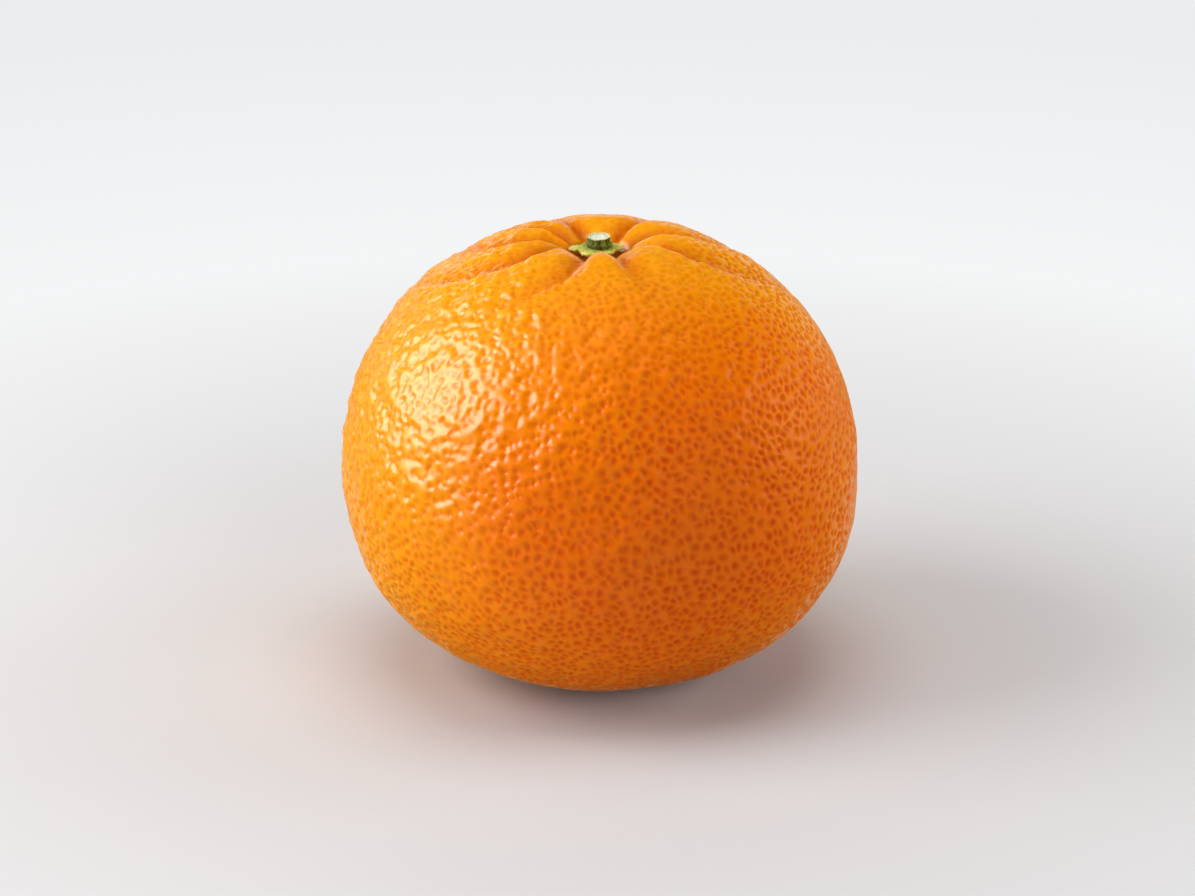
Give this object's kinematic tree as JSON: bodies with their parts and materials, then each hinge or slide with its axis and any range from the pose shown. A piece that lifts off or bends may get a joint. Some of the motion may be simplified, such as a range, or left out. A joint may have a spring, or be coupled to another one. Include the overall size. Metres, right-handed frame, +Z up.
{
  "type": "mandarin",
  "caption": "Whole round mandarin, slightly flattened, with puffy lobes around a small green calyx and a short cut stem, standing on its blossom end.",
  "frame": {"origin": "on the plane that the mandarin rests on, under the middle of its bounding box", "axes": "+Z up through the stem end, -Y towards the viewer of the front, +X to that viewer's right"},
  "size_m": [0.0702, 0.0697, 0.0606],
  "materials": {
    "fruit_peel": "satin",
    "calyx_green": "matte",
    "stem_green": "matte"
  },
  "bodies": {
    "root": {"fruit": "fruit_peel", "calyx": "calyx_green", "stem": "stem_green"}
  },
  "joints": []
}
